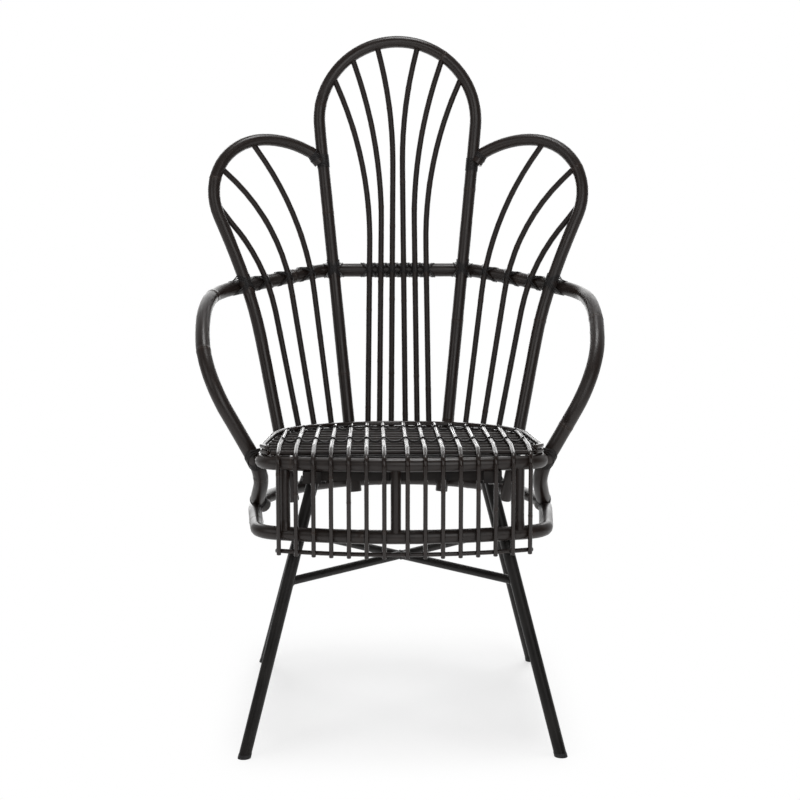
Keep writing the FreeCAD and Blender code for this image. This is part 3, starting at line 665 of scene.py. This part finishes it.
ring_strands = []
for points, edges in solids_of("ring_wraps"):
    spot = middle_of(points)
    ring_strands += crossed_strands("ring_strand", pole_at(spot, hoops), "seat_ring", spot, POLE_STRANDS)
ring_cane = cane_piece("ring_cane", "ring_wraps", ring_strands)

# %% Bind the side lobes to the centre hoop, and the arms to the rings
LOBE_TURNS = 4
LOBE_CLEAR = 0.01
ARM_TURNS = 5
ARM_CLEAR = 0.002
lobe_strands = []
for side in ("left", "right"):
    lobe = f"{side}_back_hoop"
    end = max((lines[lobe][0], lines[lobe][-1]), key=lambda point: point.z)
    inward = 1 if end == lines[lobe][0] else -1
    lobe_strands += turns("lobe_strand", lobe, end, inward, LOBE_TURNS, LOBE_CLEAR)
    for step_sign in (1, -1):
        lobe_strands += turns("lobe_strand", "center_back_hoop", end, step_sign, LOBE_TURNS, CANE_STEP / 2)
lobe_cane = cane_piece("lobe_joint_cane", "lobe_joint_wraps", lobe_strands)

arm_strands = []
arm_spots = [middle_of(points) for points, edges in solids_of("arm_wraps")]
for end, inward in ((lines["arm_rail"][0], 1), (lines["arm_rail"][-1], -1)):
    clear = thickness["lower_ring"] + ARM_CLEAR
    arm_strands += turns("arm_strand", "arm_rail", end, inward, ARM_TURNS, clear)
    beside_ring = max((spot for spot in arm_spots if spot.x * end.x > 0), key=lambda spot: spot.z)
    arm_strands += crossed_strands("arm_strand", "arm_rail", "seat_ring", beside_ring, POLE_STRANDS)
arm_cane = cane_piece("arm_cane", "arm_wraps", arm_strands)

# %% [markdown]
# ## Lacing on the seat
# Two lines of thin round cane run across the seat, over every seat rod and down to the cross rod between
# them, and keep the rods at their distance. One more strand closes the slit behind the ring's front,
# and one lies on the ring under the rods' bends.
# The waves follow the rods that are really there: each crest is a place on a rod's own middle line.

# %% Lace the seat rods down
LACE_RADIUS = 0.0013
LACED_RODS = (3, 8)
SEAT_LEVEL = 0.45
WAVE_STEPS = 8
WAVE_DIP = 0.8


def lace(cross_line, cross_radius):
    """Points of a strand that dips to the cross rod between the seat rods and climbs over each of them."""
    middle = cross_line[len(cross_line) // 2]
    low = middle.z + cross_radius + LACE_RADIUS
    crests = []
    for name in seat_rods:
        over = min(lines[name], key=lambda point: abs(point.y - middle.y) + abs(point.z - SEAT_LEVEL))
        crests.append(over + Vector((0, 0, thickness[name] + LACE_RADIUS)))
    crests.sort(key=lambda point: point.x)
    points = []
    for left, right in zip(crests, crests[1:]):
        for index in range(WAVE_STEPS):
            share = index / WAVE_STEPS
            point = left.lerp(right, share)
            dip = min(1.0, WAVE_DIP - WAVE_DIP * math.cos(2 * math.pi * share))
            point.z += (low - point.z) * dip
            points.append(point)
    return points + [crests[-1]]


ordered_rods = sorted(found["cross_rods"], key=lambda stick: stick[0][len(stick[0]) // 2].y)
routes = [lace(*ordered_rods[number]) for number in LACED_RODS]
print("lacing:", [len(route) for route in routes], "points")

# %% Close the slit at the seat's front, and make the strands
SHOULDER_REACH = 0.172
SHOULDER_ANGLE = math.radians(20.0)
SLIT_INSET = 0.001
SLIT_RISE = 0.0006


def shoulder_lace():
    """Points of a strand that lies on the ring's front, just behind its highest line."""
    ring = lines["seat_ring"]
    reach = thickness["seat_ring"] + LACE_RADIUS
    points = []
    for index, point in enumerate(ring):
        if point.y < 0 and abs(point.x) < SHOULDER_REACH:
            inward = UP.cross(way_at(ring, index)).normalized()
            inward = -inward if inward.y < 0 else inward
            side = inward * math.sin(SHOULDER_ANGLE) + UP * math.cos(SHOULDER_ANGLE)
            points.append(point + side * reach)
    return points


over_slit = Vector((0.0, SLIT_INSET, thickness["front_edge_rod"] + SLIT_RISE))
routes.append([point + over_slit for point in lines["front_edge_rod"]])
routes.append(shoulder_lace())
laces = [closed_up(swept("lace", route, LACE_RADIUS, 1)) for route in routes]
seat_lacing = joined("seat_lacing", laces)
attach(seat_lacing, "root")
cane_pieces = [rail_cane, ring_cane, lobe_cane, arm_cane, seat_lacing]
print("lacing:", len(laces), "strands,", len(seat_lacing.data.polygons), "faces")

# %% [markdown]
# ## Weld beads on the iron base
# The legs and stretchers are iron tube, welded at every meeting, and a thin bead shows under the paint.
# The mouth of each coped tube is already in the frame, so the bead is a thin round rod bent along it.

# %% Beads along the tube mouths
BEAD_RADIUS = 0.0014
TUBE_STEP = 0.01
RIM_SHARE = 0.985


def tube_mouths(node):
    """The outer edge at each end of a straight tube, in order round the tube."""
    points, edges = solids_of(node)[0]
    line = middle_line(points, edges, TUBE_STEP)
    start, way = line[0], (line[-1] - line[0]).normalized()
    half = (line[-1] - line[0]).length / 2
    across = way.orthogonal().normalized()
    above = way.cross(across)
    offsets = [((p - start) - way * (p - start).dot(way), p) for p in points]
    outer = max(offset.length for offset, point in offsets)
    rim = [(offset, point) for offset, point in offsets if offset.length > outer * RIM_SHARE]
    rim.sort(key=lambda pair: math.atan2(pair[0].dot(above), pair[0].dot(across)))
    near = [point for offset, point in rim if (point - start).dot(way) < half]
    far = [point for offset, point in rim if (point - start).dot(way) >= half]
    return near, far


mouths = []
for name in ("long_stretcher", "front_half_stretcher", "rear_half_stretcher"):
    mouths += tube_mouths(name)
for name in ("left_front_leg", "right_front_leg", "left_rear_leg", "right_rear_leg"):
    mouths.append(max(tube_mouths(name), key=lambda points: middle_of(points).z))
beads = [closed_up(swept("bead", mouth, BEAD_RADIUS, 1, closed=True)) for mouth in mouths]
weld_beads = joined("weld_beads", beads)
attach(weld_beads, "root")
print("beads:", len(beads), "round the mouths,", len(weld_beads.data.polygons), "faces")

# %% [markdown]
# ## Finishes
# All of it is black, so the finishes differ in gloss and in what shows through: brown grain under the
# satin lacquer of the poles, a duller skin on the peeled spindles, rods rubbed bright on the seat, fine
# fibres on the cane, orange peel on the painted iron. Two effects are shared by several finishes, so
# each is a node group: grain that follows the stick, and uneven lacquer.

# %% Node helpers
def shader_node(tree, kind, inputs=(), **settings):
    """A shader node with its settings made and its inputs set or linked."""
    made = tree.nodes.new(kind)
    for key, value in settings.items():
        setattr(made, key, value)
    for key, value in dict(inputs).items():
        if isinstance(value, bpy.types.NodeSocket):
            tree.links.new(value, made.inputs[key])
        else:
            made.inputs[key].default_value = value
    return made


def noise(tree, vector, scale, detail):
    inputs = {"Vector": vector, "Scale": scale, "Detail": detail}
    return shader_node(tree, "ShaderNodeTexNoise", inputs).outputs["Fac"]


def stretched(tree, vector, scale):
    return shader_node(tree, "ShaderNodeMapping", {"Vector": vector, "Scale": scale}).outputs[0]


def picked(tree, value, low, high):
    """A mask that rises from 0 to 1 while a value goes from low to high."""
    inputs = {"Value": value, "From Min": low, "From Max": high}
    return shader_node(tree, "ShaderNodeMapRange", inputs).outputs[0]


def spread(tree, value, low, high):
    """A mask from 0 to 1 turned into a value from low to high."""
    inputs = {"Value": value, "To Min": low, "To Max": high}
    return shader_node(tree, "ShaderNodeMapRange", inputs).outputs[0]


def math_node(tree, operation, first, second):
    return shader_node(tree, "ShaderNodeMath", {0: first, 1: second}, operation=operation).outputs[0]


def mix_colour(tree, factor, first, second):
    inputs = {0: factor, 6: first, 7: second}
    return shader_node(tree, "ShaderNodeMix", inputs, data_type="RGBA").outputs[2]


# %% The two shared effects
STREAK_STRETCH = (6.0, 360.0, 1.0)
FLECK_STRETCH = (60.0, 500.0, 1.0)
FLECK_SCALE = 1.4
RIPPLE_SCALE = 420.0


def new_group(name, sockets_in, sockets_out):
    """An empty node group with its named inputs and outputs."""
    group = bpy.data.node_groups.new(name, "ShaderNodeTree")
    for label, kind in sockets_in:
        group.interface.new_socket(label, in_out="INPUT", socket_type=kind)
    for label, kind in sockets_out:
        group.interface.new_socket(label, in_out="OUTPUT", socket_type=kind)
    return group, group.nodes.new("NodeGroupInput").outputs, group.nodes.new("NodeGroupOutput").inputs


def stick_grain():
    """Long streaks and short flecks along a stick."""
    group, given, result = new_group(
        "stick grain",
        [("Vector", "NodeSocketVector"), ("Streaks", "NodeSocketFloat")],
        [("Streak", "NodeSocketFloat"), ("Fleck", "NodeSocketFloat")])
    streak = noise(group, stretched(group, given["Vector"], STREAK_STRETCH), given["Streaks"], detail=4.0)
    fleck = noise(group, stretched(group, given["Vector"], FLECK_STRETCH), FLECK_SCALE, detail=3.0)
    group.links.new(streak, result["Streak"])
    group.links.new(picked(group, fleck, low=0.52, high=0.68), result["Fleck"])
    return group


def uneven_lacquer():
    """Patches where the lacquer is thin, and a fine ripple all over."""
    group, given, result = new_group(
        "uneven lacquer",
        [("Vector", "NodeSocketVector"), ("Patches", "NodeSocketFloat")],
        [("Thin", "NodeSocketFloat"), ("Ripple", "NodeSocketFloat")])
    patches = noise(group, given["Vector"], given["Patches"], detail=5.0)
    group.links.new(picked(group, patches, low=0.38, high=0.66), result["Thin"])
    group.links.new(noise(group, given["Vector"], RIPPLE_SCALE, detail=2.0), result["Ripple"])
    return group


grain = stick_grain()
lacquer = uneven_lacquer()
print("shared effects:", [group.name for group in bpy.data.node_groups])


# %% A blank finish, and what every finish is put together from
def new_finish(name, specular):
    finish = bpy.data.materials.new(name)
    finish.use_nodes = True
    tree = finish.node_tree
    shader = tree.nodes["Principled BSDF"]
    shader.inputs["Specular IOR Level"].default_value = specular
    coords = tree.nodes.new("ShaderNodeTexCoord").outputs
    return finish, tree, shader, coords


def grain_of(tree, vector):
    inputs = {"Vector": vector, "Streaks": 1.0}
    return shader_node(tree, "ShaderNodeGroup", inputs, node_tree=grain).outputs


def lacquer_of(tree, coords, patches):
    inputs = {"Vector": coords["Object"], "Patches": patches}
    return shader_node(tree, "ShaderNodeGroup", inputs, node_tree=lacquer).outputs


def painted(tree, shader, colour, roughness):
    tree.links.new(colour, shader.inputs["Base Color"])
    tree.links.new(roughness, shader.inputs["Roughness"])


def bump(tree, shader, height, strength, distance):
    inputs = {"Height": height, "Strength": strength, "Distance": distance}
    made = shader_node(tree, "ShaderNodeBump", inputs)
    tree.links.new(made.outputs[0], shader.inputs["Normal"])


# %% Lacquered rattan: satin on whole poles, duller on peeled rods, rubbed bright on the seat
DARK_STREAK = (0.0062, 0.0038, 0.003, 1)
PALE_STREAK = (0.0185, 0.0118, 0.0092, 1)
THIN_LACQUER = (0.0135, 0.009, 0.0078, 1)
BROWN_FLECK = (0.026, 0.0165, 0.0125, 1)
JOINT_SCAR = (0.024, 0.0145, 0.0105, 1)
FLECK_SHARE = 0.6


def rattan_finish(name, specular, smooth, rough):
    finish, tree, shader, coords = new_finish(name, specular)
    skin = grain_of(tree, coords["UV"])
    coat = lacquer_of(tree, coords, patches=16.0)
    joint = shader_node(tree, "ShaderNodeAttribute", attribute_name="joint").outputs["Fac"]
    base = mix_colour(tree, skin["Streak"], DARK_STREAK, PALE_STREAK)
    worn = mix_colour(tree, coat["Thin"], base, THIN_LACQUER)
    flecked = mix_colour(tree, spread(tree, skin["Fleck"], low=0.0, high=FLECK_SHARE), worn, BROWN_FLECK)
    scarred = mix_colour(tree, joint, flecked, JOINT_SCAR)
    painted(tree, shader, scarred, spread(tree, coat["Thin"], smooth, rough))
    bump(tree, shader, skin["Streak"], strength=0.3, distance=0.0003)
    return finish


pole_black = rattan_finish("black_rattan", specular=0.45, smooth=0.3, rough=0.44)
peeled_black = rattan_finish("black_peeled_rattan", specular=0.32, smooth=0.38, rough=0.52)
rubbed_black = rattan_finish("black_rubbed_rattan", specular=0.5, smooth=0.18, rough=0.32)
for piece in rattan_pieces:
    finish = pole_black
    if "spindle" in piece.name or piece.name.startswith("cross_rods"):
        finish = peeled_black
    if piece.name.startswith("seat_rod") or "edge_rod" in piece.name:
        finish = rubbed_black
    piece.data.materials.clear()
    piece.data.materials.append(finish)
print("rattan finish on", len(rattan_pieces), "pieces")


# %% Cane and stained battens
CANE_DARK = (0.0055, 0.0048, 0.005, 1)
CANE_PALE = (0.0185, 0.0155, 0.0145, 1)
CANE_WORN = (0.012, 0.0108, 0.0115, 1)
CANE_FIBRES = (0.2, 0.012, 1.0)
STAIN_DARK = (0.008, 0.0065, 0.006, 1)
STAIN_PALE = (0.022, 0.0175, 0.015, 1)
STAIN_PORES = (0.006, 0.005, 0.0048, 1)
BATTEN_GRAIN = (0.5, 0.5, 0.5)


def cane_finish():
    """Fine fibres along the strip. Its UV map runs from 0 to 1, so it is shrunk to the strip's size."""
    finish, tree, shader, coords = new_finish("black_cane", specular=0.3)
    skin = grain_of(tree, stretched(tree, coords["UV"], CANE_FIBRES))
    coat = lacquer_of(tree, coords, patches=60.0)
    base = mix_colour(tree, skin["Streak"], CANE_DARK, CANE_PALE)
    worn = mix_colour(tree, coat["Thin"], base, CANE_WORN)
    painted(tree, shader, worn, spread(tree, coat["Thin"], low=0.36, high=0.52))
    bump(tree, shader, skin["Streak"], strength=0.3, distance=0.0003)
    return finish


def batten_finish():
    """Planed wood under a matt black stain."""
    finish, tree, shader, coords = new_finish("black_stained_batten", specular=0.25)
    skin = grain_of(tree, stretched(tree, coords["Object"], BATTEN_GRAIN))
    coat = lacquer_of(tree, coords, patches=30.0)
    base = mix_colour(tree, skin["Streak"], STAIN_DARK, STAIN_PALE)
    flecked = mix_colour(tree, skin["Fleck"], base, STAIN_PORES)
    painted(tree, shader, flecked, spread(tree, coat["Thin"], low=0.5, high=0.7))
    bump(tree, shader, skin["Streak"], strength=0.3, distance=0.0004)
    return finish


cane_black = cane_finish()
batten_black = batten_finish()
for piece in cane_pieces:
    piece.data.materials.clear()
    piece.data.materials.append(cane_black)
print("cane finish on", len(cane_pieces), "pieces")


# %% Iron, steel and plastic
IRON_DARK = (0.0052, 0.0044, 0.0038, 1)
IRON_PALE = (0.0105, 0.009, 0.008, 1)
STEEL_DULL = (0.2, 0.2, 0.205, 1)
STEEL_BRIGHT = (0.36, 0.355, 0.35, 1)
PLASTIC_DARK = (0.009, 0.009, 0.0095, 1)
PLASTIC_SCUFFED = (0.018, 0.0178, 0.0178, 1)


def iron_finish():
    """Black paint with a faint orange peel."""
    finish, tree, shader, coords = new_finish("black_painted_iron", specular=0.26)
    coat = lacquer_of(tree, coords, patches=22.0)
    paint = mix_colour(tree, coat["Thin"], IRON_DARK, IRON_PALE)
    painted(tree, shader, paint, spread(tree, coat["Thin"], low=0.36, high=0.48))
    bump(tree, shader, coat["Ripple"], strength=0.2, distance=0.0003)
    return finish


def steel_finish():
    """Bare screw steel, dull in patches."""
    finish, tree, shader, coords = new_finish("dull_screw_steel", specular=0.5)
    shader.inputs["Metallic"].default_value = 1.0
    coat = lacquer_of(tree, coords, patches=140.0)
    metal = mix_colour(tree, coat["Thin"], STEEL_DULL, STEEL_BRIGHT)
    painted(tree, shader, metal, spread(tree, coat["Ripple"], low=0.28, high=0.5))
    return finish


def plastic_finish():
    """Moulded black plastic, a little scuffed."""
    finish, tree, shader, coords = new_finish("black_glide_plastic", specular=0.4)
    coat = lacquer_of(tree, coords, patches=90.0)
    moulded = mix_colour(tree, coat["Thin"], PLASTIC_DARK, PLASTIC_SCUFFED)
    painted(tree, shader, moulded, spread(tree, coat["Thin"], low=0.45, high=0.62))
    bump(tree, shader, coat["Ripple"], strength=0.15, distance=0.0002)
    return finish


iron_black = iron_finish()
finishes = {name: iron_black for name in node_names if "leg" in name or "stretcher" in name}
finishes.update({name: batten_black for name in node_names if name.endswith("_bearer")})
finishes.update({"leg_screws": steel_finish(), "foot_glides": plastic_finish()})
for name, finish in finishes.items():
    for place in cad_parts[name].material_slots:
        place.material = finish
weld_beads.data.materials.clear()
weld_beads.data.materials.append(iron_black)
print("finishes:", sorted(material.name for material in bpy.data.materials))

# %% [markdown]
# ## Floor, light and camera
# The chair is seen as a cut-out on white with one soft grey patch under the seat. A large floor has a painted
# shadow: in a soft rectangle under the chair it is shown darker, and the chair's own shade falls on it there.
# Further out it turns to plain white. The world is white to the camera. Poles mirror a slope from dark in
# front to pale behind, so that black stays black with a bright edge.
# Four large soft lamps stand in front on the right, above, on the left and behind, and the camera stands
# where the photo was taken: a little above the seat, three metres off, and a touch to the left.

# %% Floor
FLOOR_SIZE = 30.0
FLOOR_GREY = (0.9, 0.9, 0.9, 1)
FLOOR_ROUGHNESS = 0.9
# Painted shadow: a soft rectangle under the chair where the camera sees the floor darker than the white round
# it
PAINTED_SHADOW_MIDDLE = (0.0, 0.03, 0.0)
PAINTED_SHADOW_SIDE = (0.19, 0.32)
PAINTED_SHADOW_DEPTH = (0.19, 0.45)
PAINTED_SHADOW_WHITE = 0.4
bpy.ops.object.select_all(action="DESELECT")
bpy.ops.mesh.primitive_plane_add(size=FLOOR_SIZE, location=(0, 0, 0))
floor = bpy.context.object
floor.name = "studio_floor"


def fade_out(tree, value, edge):
    """A mask that is 1 inside an edge and falls softly to 0 across it."""
    inputs = {"Value": value, "From Min": edge[0], "From Max": edge[1], "To Min": 1.0, "To Max": 0.0}
    return shader_node(tree, "ShaderNodeMapRange", inputs, interpolation_type="SMOOTHSTEP").outputs[0]


def floor_with_painted_shadow():
    finish, tree, shader, coords = new_finish("pale_floor_painted_shadow", specular=0.0)
    shader.inputs["Base Color"].default_value = FLOOR_GREY
    shader.inputs["Roughness"].default_value = FLOOR_ROUGHNESS
    inputs = {0: coords["Object"], 1: PAINTED_SHADOW_MIDDLE}
    apart = shader_node(tree, "ShaderNodeVectorMath", inputs, operation="SUBTRACT").outputs[0]
    apart = shader_node(tree, "ShaderNodeVectorMath", {0: apart}, operation="ABSOLUTE").outputs[0]
    away = shader_node(tree, "ShaderNodeSeparateXYZ", {0: apart}).outputs
    aside = fade_out(tree, away["X"], PAINTED_SHADOW_SIDE)
    behind = fade_out(tree, away["Y"], PAINTED_SHADOW_DEPTH)
    painted_shadow = math_node(tree, "MULTIPLY", aside, behind)
    # Inside the painted shadow the camera sees the lit floor, with the chair's real shade, mixed with white;
    # outside only white
    seen = tree.nodes.new("ShaderNodeLightPath").outputs["Is Camera Ray"]
    share = math_node(tree, "MULTIPLY", spread(tree, painted_shadow, low=1.0, high=PAINTED_SHADOW_WHITE), seen)
    white = shader_node(tree, "ShaderNodeEmission", {"Color": (1, 1, 1, 1), "Strength": 1.0}).outputs[0]
    surface = shader_node(tree, "ShaderNodeMixShader", {0: share, 1: shader.outputs[0], 2: white})
    tree.links.new(surface.outputs[0], tree.nodes["Material Output"].inputs["Surface"])
    return finish


floor.data.materials.append(floor_with_painted_shadow())
print("floor:", FLOOR_SIZE, "m square")

# %% World
DIFFUSE_LEVEL = 0.55
MIRRORED = {"From Min": -0.1, "From Max": 0.7, "To Min": 0.1, "To Max": 0.7}
world = bpy.data.worlds.new("white_studio")
bpy.context.scene.world = world
world.use_nodes = True
tree = world.node_tree
path = tree.nodes.new("ShaderNodeLightPath").outputs
direct = math_node(tree, "MAXIMUM", path["Is Camera Ray"], path["Is Glossy Ray"])
direct = math_node(tree, "MAXIMUM", direct, path["Is Transmission Ray"])
around = tree.nodes.new("ShaderNodeTexCoord").outputs["Generated"]
ahead = shader_node(tree, "ShaderNodeSeparateXYZ", {0: around}).outputs["Y"]
room = shader_node(tree, "ShaderNodeMapRange", {"Value": ahead, **MIRRORED}).outputs[0]
shown = math_node(tree, "MAXIMUM", path["Is Camera Ray"], room)
level = shader_node(tree, "ShaderNodeMix", {0: direct, 2: DIFFUSE_LEVEL, 3: shown}, data_type="FLOAT")
back = tree.nodes["Background"]
back.inputs["Color"].default_value = (1, 1, 1, 1)
tree.links.new(level.outputs[0], back.inputs["Strength"])
print("world:", DIFFUSE_LEVEL, "on matt surfaces, up to", MIRRORED["To Max"], "in reflections")

# %% Lamps
# Name, place in metres, side of the square in metres, and power in watts
LAMPS = (("key", (0.8, -2.8, 1.8), 1.9, 23.0), ("top", (0.2, 0.3, 3.2), 0.9, 26.0),
         ("fill", (-2.2, -1.9, 1.9), 1.8, 12.0), ("back", (0.0, 2.7, 1.0), 3.0, 75.0))
LIT_SPOT = Vector((0.0, 0.0, 0.5))
for name, place, side, power in LAMPS:
    bpy.ops.object.light_add(type="AREA", location=place)
    lamp = bpy.context.object
    lamp.name = f"{name}_lamp"
    lamp.data.size = side
    lamp.data.energy = power
    lamp.visible_camera = False
    lamp.rotation_euler = (LIT_SPOT - Vector(place)).to_track_quat("-Z", "Y").to_euler()
print("lamps:", {name: power for name, place, side, power in LAMPS}, "watts")

# %% Camera
CAMERA_PLACE = (-0.045, -3.0317, 0.9869)
CAMERA_PITCH = math.radians(90 - 8.976)
CAMERA_YAW = math.radians(-0.855)
CAMERA_LENS = 83.457
CAMERA_SENSOR = 36.0
bpy.ops.object.camera_add(location=CAMERA_PLACE, rotation=(CAMERA_PITCH, 0.0, CAMERA_YAW))
camera = bpy.context.object
camera.data.lens = CAMERA_LENS
camera.data.sensor_width = CAMERA_SENSOR
bpy.context.scene.camera = camera
bpy.context.scene.view_settings.view_transform = "Standard"
print("camera at", [round(v, 3) for v in camera.location])
